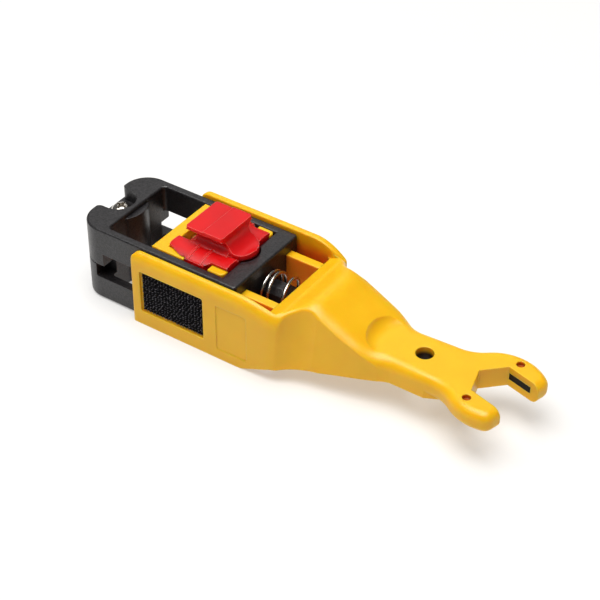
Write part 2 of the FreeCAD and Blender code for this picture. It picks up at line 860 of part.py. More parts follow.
def retainer_wings():
    """Two wings rolled over the holder's side walls, each with two ribs and a tab in the wall's notch."""
    tab_x = holder_start + tab_notch_offset + tab_gap
    tab_end = tab_x + tab_notch_length - 2 * tab_gap
    front_x = holder_inner_x + retainer_gap
    rear_x = holder_rear_x - retainer_gap
    front_half = holder_half - wing_front_inset
    rear_half = holder_half - wing_rear_inset
    plan = plan_prism([
        (front_x, lobe_radius),
        (front_x, front_half),
        (tab_x, holder_half),
        (tab_end - tab_taper, holder_half),
        (tab_end, rear_half),
        (rear_x, rear_half),
        (rear_x, lobe_radius),
    ], wing_bottom, wing_top + grip_rib_height)
    wing = plan.common(wing_roll(0))
    for x in (tab_x + grip_rib_width, tab_x + grip_rib_width + grip_rib_spacing):
        slice_x = box(x, x + grip_rib_width, 0, far, 0, far)
        wing = wing.fuse(plan.common(wing_roll(grip_rib_height)).common(slice_x))
    tab_low = carriage_top - tab_notch_depth + tab_gap
    root = pocket_half - retainer_gap - overcut
    wing = wing.fuse(box(tab_x, tab_end - tab_taper, root, holder_half - tab_gap, tab_low, wing_bottom))
    return wing.fuse(mirrored(wing))


def make_retainer():
    """Red retainer: a hollow-fronted block in the tray that backs the blades, with wings and grip above."""
    inner_x = holder_inner_x + retainer_gap
    block = middle_box(inner_x, holder_rear_x - retainer_gap, pocket_half - retainer_gap,
                       holder_bottom + holder_floor + retainer_gap, wing_bottom)
    bay_half = blade_spacing / 2 + blade_bay_margin
    bay = middle_box(0, blade_tail_x + blade_backing_gap, bay_half, 0, far)
    block = block.cut(bay)
    return block.fuse(retainer_wings()).fuse(retainer_grip()).removeSplitter()


ring = carriage_ring()
pad = make_grip_pad()
parts = {
    "handle": make_handle(),
    "cassette_holder": make_cassette_holder(),
    "carriage_upper": make_carriage_half(ring, True),
    "carriage_lower": make_carriage_half(ring, False),
    "front_screw": make_front_screw(),
    "rear_screw_left": make_rear_screw(-rear_screw_y),
    "rear_screw_right": make_rear_screw(rear_screw_y),
    "return_spring": make_spring(),
    "blade_retainer": make_retainer(),
    "guide_pin": make_guide_pin(),
    "core_blade": make_blade(-blade_spacing / 2, core_blade_reach),
    "jacket_blade": make_blade(blade_spacing / 2, jacket_blade_reach),
    "grip_pad_near": pad,
    "grip_pad_far": mirrored(pad),
    "jaw_insert_near": jaw_insert(-1),
    "jaw_insert_far": jaw_insert(1),
}

# Bring the origin to the bottom centre of the whole model's box
bounds = Part.makeCompound(list(parts.values())).optimalBoundingBox()
to_centre = Vector(-(bounds.XMin + bounds.XMax) / 2, -(bounds.YMin + bounds.YMax) / 2, -bounds.ZMin)

os.makedirs("parts", exist_ok=True)
for name, shape in parts.items():
    shape.translated(to_centre).exportStep("parts/" + name + ".step")
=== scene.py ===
import bpy
import numpy as np
from mathutils import Matrix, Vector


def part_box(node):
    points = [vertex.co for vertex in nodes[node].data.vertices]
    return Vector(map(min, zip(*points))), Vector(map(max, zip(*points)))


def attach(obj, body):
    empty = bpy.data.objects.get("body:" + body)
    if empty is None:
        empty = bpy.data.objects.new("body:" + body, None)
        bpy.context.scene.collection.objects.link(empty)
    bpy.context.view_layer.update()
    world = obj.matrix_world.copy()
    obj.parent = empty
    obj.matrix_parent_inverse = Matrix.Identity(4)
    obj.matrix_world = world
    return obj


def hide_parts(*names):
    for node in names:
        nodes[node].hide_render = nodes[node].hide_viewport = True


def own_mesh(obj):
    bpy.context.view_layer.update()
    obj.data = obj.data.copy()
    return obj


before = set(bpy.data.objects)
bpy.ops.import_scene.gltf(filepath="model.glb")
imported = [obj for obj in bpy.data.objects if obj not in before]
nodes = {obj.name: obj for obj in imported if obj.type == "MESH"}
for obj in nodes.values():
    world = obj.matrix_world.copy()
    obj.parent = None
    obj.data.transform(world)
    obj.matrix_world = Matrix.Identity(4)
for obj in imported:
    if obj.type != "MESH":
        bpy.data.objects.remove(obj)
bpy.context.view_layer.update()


# Handle: one injection moulding in warm yellow plastic, from the thin side arms to the wrench head.
# The mould's fine spark finish gives it a satin skin, and each corner keeps the mould's small radius.
value_socket, vector_socket = "NodeSocketFloat", "NodeSocketVector"
noise_span = (0.3, 0.7)


def new_group(name, inputs, outputs):
    """Empty shader group with named sockets; returns the group, its input node and its output node."""
    group = bpy.data.node_groups.new(name, "ShaderNodeTree")
    for way, sockets in (("INPUT", inputs), ("OUTPUT", outputs)):
        for socket, kind in sockets.items():
            group.interface.new_socket(socket, in_out=way, socket_type=kind)
    return group, group.nodes.new("NodeGroupInput"), group.nodes.new("NodeGroupOutput")


def feed(tree, source, socket):
    """Puts a number, a colour, a vector or another node's output into a socket."""
    if isinstance(source, bpy.types.NodeSocket):
        tree.links.new(source, socket)
    else:
        socket.default_value = source


def new_node(tree, kind, inputs=None, **settings):
    """Node of a kind, with its settings made and its inputs fed."""
    node = tree.nodes.new(kind)
    for setting, value in settings.items():
        setattr(node, setting, value)
    for socket, source in (inputs or {}).items():
        feed(tree, source, node.inputs[socket])
    return node


def moulded_skin_group():
    """Skin of a moulded plastic, in object space.

    Normal: the surface's normal averaged within Corner radius, then tilted by a slow noise (the waviness of
    a thick moulding) and by a fine one (Grain per metre, Grain depth). Mottle and Grain: those two noises,
    0 to 1. Edge: 0 on flat faces, rising to 1 at corners, where the averaged normal leaves the face's own.
    """
    waves_per_metre, wave_strength, wave_height = 160.0, 0.25, 0.0001
    grain_height = 0.00008
    flat_cosine, edge_cosine = 0.99, 0.80
    group, given, out = new_group(
        "moulded_skin",
        {"Grain per metre": value_socket, "Grain depth": value_socket, "Corner radius": value_socket},
        {"Normal": vector_socket, "Mottle": value_socket, "Grain": value_socket, "Edge": value_socket})
    place = new_node(group, "ShaderNodeTexCoord")
    corner = new_node(group, "ShaderNodeBevel", {"Radius": given.outputs["Corner radius"]}, samples=6)
    wave = new_node(group, "ShaderNodeTexNoise", {
        "Vector": place.outputs["Object"], "Scale": waves_per_metre, "Detail": 2.0})
    waviness = new_node(group, "ShaderNodeBump", {
        "Strength": wave_strength, "Distance": wave_height,
        "Height": wave.outputs["Fac"], "Normal": corner.outputs["Normal"]})
    grain = new_node(group, "ShaderNodeTexNoise", {
        "Vector": place.outputs["Object"], "Scale": given.outputs["Grain per metre"], "Detail": 1.0})
    texture = new_node(group, "ShaderNodeBump", {
        "Strength": given.outputs["Grain depth"], "Distance": grain_height,
        "Height": grain.outputs["Fac"], "Normal": waviness.outputs["Normal"]})
    face = new_node(group, "ShaderNodeNewGeometry")
    agreement = new_node(group, "ShaderNodeVectorMath", {
        0: corner.outputs["Normal"], 1: face.outputs["Normal"]}, operation="DOT_PRODUCT")
    edge = new_node(group, "ShaderNodeMapRange", {
        "Value": agreement.outputs["Value"], "From Min": flat_cosine, "From Max": edge_cosine},
        interpolation_type="SMOOTHSTEP")
    feed(group, texture.outputs["Normal"], out.inputs["Normal"])
    feed(group, wave.outputs["Fac"], out.inputs["Mottle"])
    feed(group, grain.outputs["Fac"], out.inputs["Grain"])
    feed(group, edge.outputs["Result"], out.inputs["Edge"])
    return group


def new_finish(name):
    """Material with a Principled shader and nothing else; returns the material, its tree and the shader."""
    material = bpy.data.materials.new(name)
    material.use_nodes = True
    tree = material.node_tree
    tree.nodes.clear()
    shader = new_node(tree, "ShaderNodeBsdfPrincipled")
    new_node(tree, "ShaderNodeOutputMaterial", {"Surface": shader.outputs["BSDF"]})
    return material, tree, shader


def tint(tree, mask, tones, shader):
    """Base colour that runs from the first tone to the second as the mask crosses the noise's span."""
    ramp = new_node(tree, "ShaderNodeValToRGB", {"Fac": mask})
    for stop, position, tone in zip(ramp.color_ramp.elements, noise_span, tones):
        stop.position = position
        stop.color = (*tone, 1.0)
    feed(tree, ramp.outputs["Color"], shader.inputs["Base Color"])


def gloss(tree, mask, roughness, shader):
    """Roughness that runs from the first value to the second as the mask crosses the noise's span."""
    spread = new_node(tree, "ShaderNodeMapRange", {
        "Value": mask, "From Min": noise_span[0], "From Max": noise_span[1],
        "To Min": roughness[0], "To Max": roughness[1]})
    feed(tree, spread.outputs["Result"], shader.inputs["Roughness"])


def stain(tree, mask, colour, shader):
    """Takes the base colour to another colour where the mask says so."""
    plain = shader.inputs["Base Color"].links[0].from_socket
    mix = new_node(tree, "ShaderNodeMix", {"Factor": mask, "A": plain, "B": (*colour, 1.0)}, data_type="RGBA")
    feed(tree, mix.outputs["Result"], shader.inputs["Base Color"])


moulded_skin = moulded_skin_group()


def moulding(name, tones, edge, roughness, grain_per_metre, grain_depth, corner_radius, follows="Mottle"):
    """Moulded plastic: two tones that follow its mottle or its grain, two close glosses and a painted
    highlight on its edges.
    """
    material, tree, shader = new_finish(name)
    skin = new_node(tree, "ShaderNodeGroup", {
        "Grain per metre": grain_per_metre, "Grain depth": grain_depth, "Corner radius": corner_radius},
        node_tree=moulded_skin)
    tint(tree, skin.outputs[follows], tones, shader)
    # Painted highlight: every corner takes the lighter edge colour.
    stain(tree, skin.outputs["Edge"], edge, shader)
    gloss(tree, skin.outputs["Mottle"], roughness, shader)
    feed(tree, skin.outputs["Normal"], shader.inputs["Normal"])
    return material, shader


def let_light_in(shader, weight, radius, scale):
    """Lets light pass a little way through the plastic under its skin."""
    shader.inputs["Subsurface Weight"].default_value = weight
    shader.inputs["Subsurface Radius"].default_value = radius
    shader.inputs["Subsurface Scale"].default_value = scale


def trough_glow_group():
    """Mask of painted light: the warm light thrown to and fro between the upright walls of the spring's
    trough.

    Shade = [x < end wall] * [|y| < side wall] * s((z - z_lit) / (z_deep - z_lit)) * (1 - upward part of the
    normal), in object space, with s(t) = t * t * (3 - 2 t) held between 0 and 1: none on level faces, full
    deep down on upright ones.
    """
    end_wall, side_wall = -0.00210, 0.01210
    z_lit, z_deep = 0.0190, 0.0150
    group, _, out = new_group("trough_glow", {}, {"Shade": value_socket})
    place = new_node(group, "ShaderNodeTexCoord")
    parts = new_node(group, "ShaderNodeSeparateXYZ", {"Vector": place.outputs["Object"]})
    before = new_node(group, "ShaderNodeMath", {0: parts.outputs["X"], 1: end_wall}, operation="LESS_THAN")
    aside = new_node(group, "ShaderNodeMath", {0: parts.outputs["Y"]}, operation="ABSOLUTE")
    between = new_node(group, "ShaderNodeMath", {
        0: aside.outputs["Value"], 1: side_wall}, operation="LESS_THAN")
    depth = new_node(group, "ShaderNodeMapRange", {
        "Value": parts.outputs["Z"], "From Min": z_lit, "From Max": z_deep}, interpolation_type="SMOOTHSTEP")
    facing = new_node(group, "ShaderNodeSeparateXYZ", {"Vector": place.outputs["Normal"]})
    upright = new_node(group, "ShaderNodeMath", {0: 1.0, 1: facing.outputs["Z"]},
                       operation="SUBTRACT", use_clamp=True)
    shade = before.outputs["Value"]
    for mask in (between.outputs["Value"], depth.outputs["Result"], upright.outputs["Value"]):
        shade = new_node(group, "ShaderNodeMath", {0: shade, 1: mask}, operation="MULTIPLY").outputs["Value"]
    feed(group, shade, out.inputs["Shade"])
    return group


def hole_shade_group():
    """Mask of painted shade on an upright hole's wall and floor, in object space.

    Shade = [r < Radius] * s((z - Lit height) / (Dark height - Lit height)), with r the distance from the
    hole's axis, which stands on Axis, and s as in the trough's mask: none at the rim, full lower down.
    """
    group, given, out = new_group(
        "hole_shade",
        {"Axis": vector_socket, "Radius": value_socket,
         "Lit height": value_socket, "Dark height": value_socket},
        {"Shade": value_socket})
    place = new_node(group, "ShaderNodeTexCoord")
    offset = new_node(group, "ShaderNodeVectorMath", {
        0: place.outputs["Object"], 1: given.outputs["Axis"]}, operation="SUBTRACT")
    parts = new_node(group, "ShaderNodeSeparateXYZ", {"Vector": offset.outputs["Vector"]})
    level = new_node(group, "ShaderNodeCombineXYZ", {"X": parts.outputs["X"], "Y": parts.outputs["Y"]})
    distance = new_node(group, "ShaderNodeVectorMath", {0: level.outputs["Vector"]}, operation="LENGTH")
    inside = new_node(group, "ShaderNodeMath", {
        0: distance.outputs["Value"], 1: given.outputs["Radius"]}, operation="LESS_THAN")
    depth = new_node(group, "ShaderNodeMapRange", {
        "Value": parts.outputs["Z"],
        "From Min": given.outputs["Lit height"], "From Max": given.outputs["Dark height"]},
        interpolation_type="SMOOTHSTEP")
    shade = new_node(group, "ShaderNodeMath", {
        0: inside.outputs["Value"], 1: depth.outputs["Result"]}, operation="MULTIPLY")
    feed(group, shade.outputs["Value"], out.inputs["Shade"])
    return group


hole_shade = hole_shade_group()


def shade_hole(tree, shader, axis, radius, lit_height, dark_height, colour):
    """Paints shade into one upright hole of a moulding, darkening it to the colour."""
    hole = new_node(tree, "ShaderNodeGroup", {
        "Axis": axis, "Radius": radius, "Lit height": lit_height, "Dark height": dark_height},
        node_tree=hole_shade)
    stain(tree, hole.outputs["Shade"], colour, shader)


def dress(node, material):
    """Gives a CAD node its finish."""
    nodes[node].data.materials.clear()
    nodes[node].data.materials.append(material)


hanging_hole = (0.0294254, 0.0, 0.0)
locating_holes = ((0.0475450, 0.0082002, 0.0), (0.0434557, -0.0070614, 0.0))
# Its edge colour is a painted highlight, a pale yellow on every corner.
yellow_moulding, yellow_shader = moulding(
    "yellow_moulding", tones=((0.815, 0.465, 0.012), (0.845, 0.495, 0.015)), edge=(0.90, 0.60, 0.060),
    roughness=(0.28, 0.36), grain_per_metre=5200.0, grain_depth=0.08, corner_radius=0.00050)
let_light_in(yellow_shader, weight=0.40, radius=(1.0, 0.34, 0.04), scale=0.0018)
yellow_tree = yellow_moulding.node_tree
# Painted light: the trough's upright walls are warmed to orange deep down, as by light bounced between them.
trough_glow = new_node(yellow_tree, "ShaderNodeGroup", node_tree=trough_glow_group())
stain(yellow_tree, trough_glow.outputs["Shade"], (0.95, 0.30, 0.030), yellow_shader)
# Painted shade: the hanging hole's bore goes nearly black below its rim, and the two locating holes go dark
# orange-brown.
shade_hole(yellow_tree, yellow_shader, hanging_hole, radius=0.00203,
           lit_height=0.0120, dark_height=0.0108, colour=(0.030, 0.010, 0.002))
for locating_hole in locating_holes:
    shade_hole(yellow_tree, yellow_shader, locating_hole, radius=0.00098,
               lit_height=0.01268, dark_height=0.0122, colour=(0.50, 0.120, 0.006))
dress("handle", yellow_moulding)


# Far arm's lip: part of the same yellow moulding. The far arm stands a little taller than the near one,
# so that its inner wall shows above the carriage, and its top falls away to the ridge beside the hump.
def tube_faces(tubes, steps, sides):
    """Quads between neighbouring rings, and one cap at each end of every tube."""
    ring = np.arange(tubes * steps * sides).reshape(tubes, steps, sides)
    after = np.roll(ring, -1, axis=2)
    walls = np.stack([ring[:, :-1], ring[:, 1:], after[:, 1:], after[:, :-1]], axis=-1).reshape(-1, 4)
    starts = ring[:, 0]
    ends = ring[:, -1, ::-1]
    return walls.tolist() + starts.tolist() + ends.tolist()


def mesh_piece(name, points, faces, material, smooth):
    """New piece from its points and faces, at the origin, with its finish."""
    mesh = bpy.data.meshes.new(name)
    mesh.from_pydata(np.asarray(points).reshape(-1, 3).tolist(), [], faces)
    mesh.polygons.foreach_set("use_smooth", [smooth] * len(mesh.polygons))
    mesh.materials.append(material)
    mesh.validate()
    mesh.update()
    piece = bpy.data.objects.new(name, mesh)
    bpy.context.scene.collection.objects.link(piece)
    return piece


def far_arm_lip():
    """Rail along the far arm's top and inner wall: one section carried along x.

    Top = full height - fall * (x - fall start)^2 behind the fall's start, with a quarter-round nose in front.
    Section: up the inner wall from the foot, over an elliptic inner corner that grows to the rear, over a
    round outer corner, down the side, then tucked into the arm and down again to the foot. Both ends are
    half round in plan.
    """
    front_x, rear_x = -0.0378546, 0.0013
    inner_y, outer_y = 0.012035, 0.01396
    foot_z, full_z = 0.0020, 0.0202
    fall_x, fall = -0.0070, 58.0
    nose, end_round = 0.0024, 0.00092
    inner_round, outer_round = 0.00035, 0.0009
    rear_corner_width, rear_corner_height = 0.0010, 0.0022
    blend_x, blend_length = -0.0030, 0.0040
    widest_corner_share = 0.47
    side_z, side_fall = 0.0159, 0.0023
    side_fall_x, side_fall_length = -0.0090, 0.0096
    side_inset, tuck, tuck_depth = 0.000005, 0.00003, 0.00115
    leg = 0.00115
    stations, bends = 90, 9
    share = 0.5 - 0.5 * np.cos(np.pi * np.linspace(0.0, 1.0, stations))
    along = (rear_x - front_x) * share
    x = front_x + along
    to_end = np.minimum(np.minimum(along, along[::-1]), end_round)
    inset = end_round - np.sqrt(end_round ** 2 - (end_round - to_end) ** 2)
    to_nose = np.minimum(along, nose)
    top = full_z - fall * np.maximum(x - fall_x, 0.0) ** 2
    top = top - nose + np.sqrt(nose ** 2 - (nose - to_nose) ** 2)
    side = side_z - side_fall * np.clip((x - side_fall_x) / side_fall_length, 0.0, 1.0)
    y_in, y_out = inner_y + inset, outer_y - inset
    most = widest_corner_share * (y_out - y_in)
    blend = np.clip((x - blend_x) / blend_length, 0.0, 1.0)
    blend = blend * blend * (3.0 - 2.0 * blend)
    wide = np.minimum(inner_round + (rear_corner_width - inner_round) * blend, most)
    tall = inner_round + (rear_corner_height - inner_round) * blend
    outer = np.minimum(outer_round, most)
    turn = np.linspace(0.0, 0.5 * np.pi, bends)[None, :]
    inner_corner_y = (y_in + wide)[:, None] - wide[:, None] * np.cos(turn)
    inner_corner_z = (top - tall)[:, None] + tall[:, None] * np.sin(turn)
    outer_corner_y = (y_out - outer)[:, None] + outer[:, None] * np.sin(turn)
    outer_corner_z = (top - outer)[:, None] + outer[:, None] * np.cos(turn)
    back = np.minimum(y_in + leg, y_in + most)
    foot = np.full(stations, foot_z)
    tail_y = np.stack([y_out - side_inset, y_out - tuck, back, back], axis=1)
    tail_z = np.stack([side, side - tuck_depth, side - tuck_depth, foot], axis=1)
    y = np.concatenate([y_in[:, None], inner_corner_y, outer_corner_y, tail_y], axis=1)
    z = np.concatenate([foot[:, None], inner_corner_z, outer_corner_z, tail_z], axis=1)
    points = np.stack([np.broadcast_to(x[:, None], y.shape), y, z], axis=-1)
    piece = mesh_piece("far_arm_lip", points, tube_faces(1, stations, y.shape[1]), yellow_moulding, True)
    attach(piece, "frame")


far_arm_lip()


# Wrench jaw plates: hardened steel strips let into the plastic jaws, blackened, with their ground faces
# left a little brighter. Ground lines run along each strip.
def ground_lines_group():
    """Lines left by grinding or drawing: a noise over object coordinates multiplied by Stretch.

    Lines: the noise, 0 to 1. Normal: the normal averaged at the corners, with a shallow bump from the lines,
    Depth strong.
    """
    corner_radius, line_height = 0.00008, 0.00002
    group, given, out = new_group(
        "ground_lines",
        {"Stretch": vector_socket, "Depth": value_socket},
        {"Lines": value_socket, "Normal": vector_socket})
    place = new_node(group, "ShaderNodeTexCoord")
    stretch = new_node(group, "ShaderNodeVectorMath", {
        0: place.outputs["Object"], 1: given.outputs["Stretch"]}, operation="MULTIPLY")
    lines = new_node(group, "ShaderNodeTexNoise", {
        "Vector": stretch.outputs["Vector"], "Scale": 1.0, "Detail": 3.0})
    corner = new_node(group, "ShaderNodeBevel", {"Radius": corner_radius}, samples=4)
    bump = new_node(group, "ShaderNodeBump", {
        "Strength": given.outputs["Depth"], "Distance": line_height,
        "Height": lines.outputs["Fac"], "Normal": corner.outputs["Normal"]})
    feed(group, lines.outputs["Fac"], out.inputs["Lines"])
    feed(group, bump.outputs["Normal"], out.inputs["Normal"])
    return group


ground_lines = ground_lines_group()


def metal(name, tones, roughness, stretch, depth):
    """Bare metal: two close tones and two close glosses along the lines of its grinding or drawing."""
    material, tree, shader = new_finish(name)
    lines = new_node(tree, "ShaderNodeGroup", {"Stretch": stretch, "Depth": depth}, node_tree=ground_lines)
    shader.inputs["Metallic"].default_value = 1.0
    tint(tree, lines.outputs["Lines"], tones, shader)
    gloss(tree, lines.outputs["Lines"], roughness, shader)
    feed(tree, lines.outputs["Normal"], shader.inputs["Normal"])
    return material


blackened_steel = metal(
    "blackened_steel", tones=((0.026, 0.023, 0.021), (0.050, 0.045, 0.042)), roughness=(0.34, 0.50),
    stretch=(700.0, 3000.0, 9000.0), depth=0.5)
for jaw_plate in ("jaw_insert_near", "jaw_insert_far"):
    dress(jaw_plate, blackened_steel)


# Cassette holder: a tray moulded in the same yellow plastic as the handle, open at the top for the retainer.
# Its two straight ribs plug into the shoulder and carry the sliding carriage.
dress("cassette_holder", yellow_moulding)


# Blades: two thin steel plates, punched and ground to an edge at the front. They stand upright in slits of
# the tray's front wall, and the retainer backs them.
blade_steel = metal(
    "blade_steel", tones=((0.55, 0.55, 0.56), (0.72, 0.72, 0.73)), roughness=(0.16, 0.30),
    stretch=(9000.0, 9000.0, 700.0), depth=0.35)
for blade in ("core_blade", "jacket_blade"):
    dress(blade, blade_steel)


# Guide pin: a small turned brass pin with a domed end, in front of the red grip.
# It is pressed into the tray's floor.
pin_brass = metal(
    "pin_brass", tones=((0.60, 0.40, 0.13), (0.78, 0.55, 0.22)), roughness=(0.24, 0.38),
    stretch=(3000.0, 3000.0, 9000.0), depth=0.3)
dress("guide_pin", pin_brass)


# Grip pads: strips of black hook tape glued into a shallow pocket of each arm. The woven backing carries
# rows of stiff bent hooks that lean to one side and the other in turn. Their bends catch the light as small
# glints.
backing_margin, backing_share = 0.00025, 0.30
backing_columns, backing_rows = 90, 58
weave_depth, weave_pitch = 0.00004, 0.00045
hook_pitch_x, hook_pitch_z = 0.00080, 0.00064
hook_radius, hook_taper = 0.00010, 0.35
hook_root = 0.00004
hook_reach, reach_range = 0.00034, (0.85, 1.0)
hook_bend, bend_range = 0.00020, (0.7, 1.2)
hook_arc = 0.85 * np.pi
hook_scatter, lean_scatter = 0.00005, 0.6
hook_steps, hook_sides = 9, 6


def tube_rings(path, radius, sides):
    """Rings of a tube: each point of path, spread round a circle across the path's own direction.

    path is (tubes, steps, 3) and radius is (tubes, steps). Point = path + radius * (cos t * across +
    sin t * over), with across = direction x helper, over = across x direction, and helper a direction that
    no wire follows.
    """
    direction = np.gradient(path, axis=1)
    direction /= np.linalg.norm(direction, axis=2, keepdims=True)
    helper = np.broadcast_to((0.31, 0.17, 0.93), direction.shape)
    across = np.cross(direction, helper)
    across /= np.linalg.norm(across, axis=2, keepdims=True)
    over = np.cross(across, direction)
    turn = np.linspace(0.0, 2.0 * np.pi, sides, endpoint=False)[:, None]
    spread = np.cos(turn) * across[:, :, None] + np.sin(turn) * over[:, :, None]
    return path[:, :, None] + radius[:, :, None, None] * spread


def grid_faces(grid):
    """Quads between the neighbouring points of a grid of point numbers."""
    return np.stack([grid[:-1, :-1], grid[1:, :-1], grid[1:, 1:], grid[:-1, 1:]], axis=-1).reshape(-1, 4)


def nylon(name, tones, roughness, shine):
    """Black nylon: a fine noise changes its depth of black and its gloss from hook to hook."""
    patches_per_metre = 1300.0
    material, tree, shader = new_finish(name)
    place = new_node(tree, "ShaderNodeTexCoord")
    uneven = new_node(tree, "ShaderNodeTexNoise", {
        "Vector": place.outputs["Object"], "Scale": patches_per_metre})
    tint(tree, uneven.outputs["Fac"], tones, shader)
    gloss(tree, uneven.outputs["Fac"], roughness, shader)
    shader.inputs["Specular IOR Level"].default_value = shine
    return material


hook_ground = nylon(
    "hook_ground", tones=((0.003, 0.003, 0.004), (0.008, 0.007, 0.009)), roughness=(0.60, 0.80), shine=0.05)
hook_wire = nylon(
    "hook_wire", tones=((0.040, 0.040, 0.045), (0.130, 0.122, 0.140)), roughness=(0.18, 0.32), shine=1.0)


def pad_backing(x_ends, z_ends, floor_y, base, side):
    """Points and faces of a woven backing.

    A grid over the pad: height above the pocket's floor = base + depth * sin(k x) * sin(k z), and 0 at the
    rim, where it folds down. One face closes it below.
    """
    u = np.linspace(0.0, 1.0, backing_columns)[:, None]
    v = np.linspace(0.0, 1.0, backing_rows)[None, :]
    x = x_ends[0] + (x_ends[1] - x_ends[0]) * u + 0.0 * v
    z = z_ends[0] + (z_ends[1] - z_ends[0]) * v + 0.0 * u
    wave = 2.0 * np.pi / weave_pitch
    weave = weave_depth * np.sin(wave * x) * np.sin(wave * z)
    rim = (u == 0.0) | (u == 1.0) | (v == 0.0) | (v == 1.0)
    height = np.where(rim, 0.0, base + weave)
    points = np.stack([x, floor_y + side * height, z], axis=-1).reshape(-1, 3)
    grid = np.arange(backing_columns * backing_rows).reshape(backing_columns, backing_rows)
    top = grid_faces(grid)
    under = np.concatenate([grid[:-1, 0], grid[-1, :-1], grid[:0:-1, -1], grid[0, :0:-1]])
    if side > 0.0:
        top = top[:, ::-1]
    else:
        under = under[::-1]
    return points, top.tolist() + [under.tolist()]


def pad_hooks(x_ends, z_ends, floor_y, base, side, seed):
    """Points and faces of the hooks: tapering wires in rows, each row half a pitch aside from the last.

    Wire = root + out * reach * sin(a) + lean * bend * (1 - cos(a)) for a from 0 to the hook's arc.
    """
    draw = np.random.default_rng(seed)
    width, height = x_ends[1] - x_ends[0], z_ends[1] - z_ends[0]
    across, up = int(width / hook_pitch_x), int(height / hook_pitch_z)
    count = across * up
    column, row = np.meshgrid(np.arange(across), np.arange(up), indexing="ij")
    x = x_ends[0] + (column + 0.25 + 0.5 * (row % 2)) * width / across
    z = z_ends[0] + (row + 0.5) * height / up
    x = x.ravel() + draw.normal(0.0, hook_scatter, count)
    z = z.ravel() + draw.normal(0.0, hook_scatter, count)
    lean = np.pi * (row % 2).ravel() + draw.normal(0.0, lean_scatter, count)
    reach = hook_reach * draw.uniform(*reach_range, count)
    bend = hook_bend * draw.uniform(*bend_range, count)
    angle = np.linspace(0.0, hook_arc, hook_steps)[None, :]
    along = bend[:, None] * (1.0 - np.cos(angle))
    path = np.stack([
        x[:, None] + np.cos(lean)[:, None] * along,
        floor_y + side * (base - hook_root + reach[:, None] * np.sin(angle)),
        z[:, None] + np.sin(lean)[:, None] * along,
    ], axis=-1)
    taper = 1.0 - hook_taper * np.linspace(0.0, 1.0, hook_steps)
    radius = np.broadcast_to(hook_radius * taper, (count, hook_steps))
    points = tube_rings(path, radius, hook_sides).reshape(-1, 3)
    return points, tube_faces(count, hook_steps, hook_sides)


def hook_pad(node, name, seed):
    """Backing and hooks of one pad, on the floor of the pocket that the pad's solid fills."""
    low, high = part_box(node)
    side = 1.0 if low.y > 0.0 else -1.0
    floor_y = low.y if side > 0.0 else high.y
    base = (high.y - low.y) * backing_share
    x_ends = (low.x + backing_margin, high.x - backing_margin)
    z_ends = (low.z + backing_margin, high.z - backing_margin)
    backing, backing_faces = pad_backing(x_ends, z_ends, floor_y, base, side)
    hooks, hook_faces = pad_hooks(x_ends, z_ends, floor_y, base, side, seed)
    hook_faces = [[point + len(backing) for point in face] for face in hook_faces]
    piece = mesh_piece(name, np.concatenate([backing, hooks]), backing_faces + hook_faces, hook_ground, True)
    piece.data.materials.append(hook_wire)
    piece.data.polygons.foreach_set("material_index", [0] * len(backing_faces) + [1] * len(hook_faces))
    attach(piece, "frame")
    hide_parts(node)


hook_pad("grip_pad_near", "hook_pad_near", seed=11)
hook_pad("grip_pad_far", "hook_pad_far", seed=12)


# Sliding carriage: two black glass-filled halves that close round the tray and slide between the arms.
# A coarser spark finish makes the black look charcoal where the light rakes over it.
# Its edge colour is a painted highlight, a lighter grey on every corner.
black_moulding, black_shader = moulding(
    "black_moulding", tones=((0.009, 0.0084, 0.009), (0.036, 0.0340, 0.0365)), edge=(0.070, 0.066, 0.070),
    roughness=(0.28, 0.40), grain_per_metre=2500.0, grain_depth=0.6, corner_radius=0.00020, follows="Grain")
black_shader.inputs["Specular IOR Level"].default_value = 0.75
for half in ("carriage_upper", "carriage_lower"):
    dress(half, black_moulding)


# Carriage screws: bright nickel-plated steel, cold headed and rolled. One pan head sits in the front notch,
# and two heads close the rear wall from below.
plated_steel = metal(
    "plated_steel", tones=((0.66, 0.62, 0.57), (0.82, 0.79, 0.74)), roughness=(0.15, 0.28),
    stretch=(2500.0, 2500.0, 6000.0), depth=0.25)
for screw in ("front_screw", "rear_screw_left", "rear_screw_right"):
    dress(screw, plated_steel)


# Return spring: drawn steel wire, one and a half nearly closed turns against the carriage, then one and a
# half open turns towards the shoulder. It is loose on the carriage's post; the real spring shortens as the
# carriage is squeezed back, but this piece rides with the frame at one length.
spring_steel = metal(
    "spring_steel", tones=((0.46, 0.43, 0.39), (0.62, 0.59, 0.55)), roughness=(0.16, 0.30),
    stretch=(2500.0, 2500.0, 2500.0), depth=0.25)


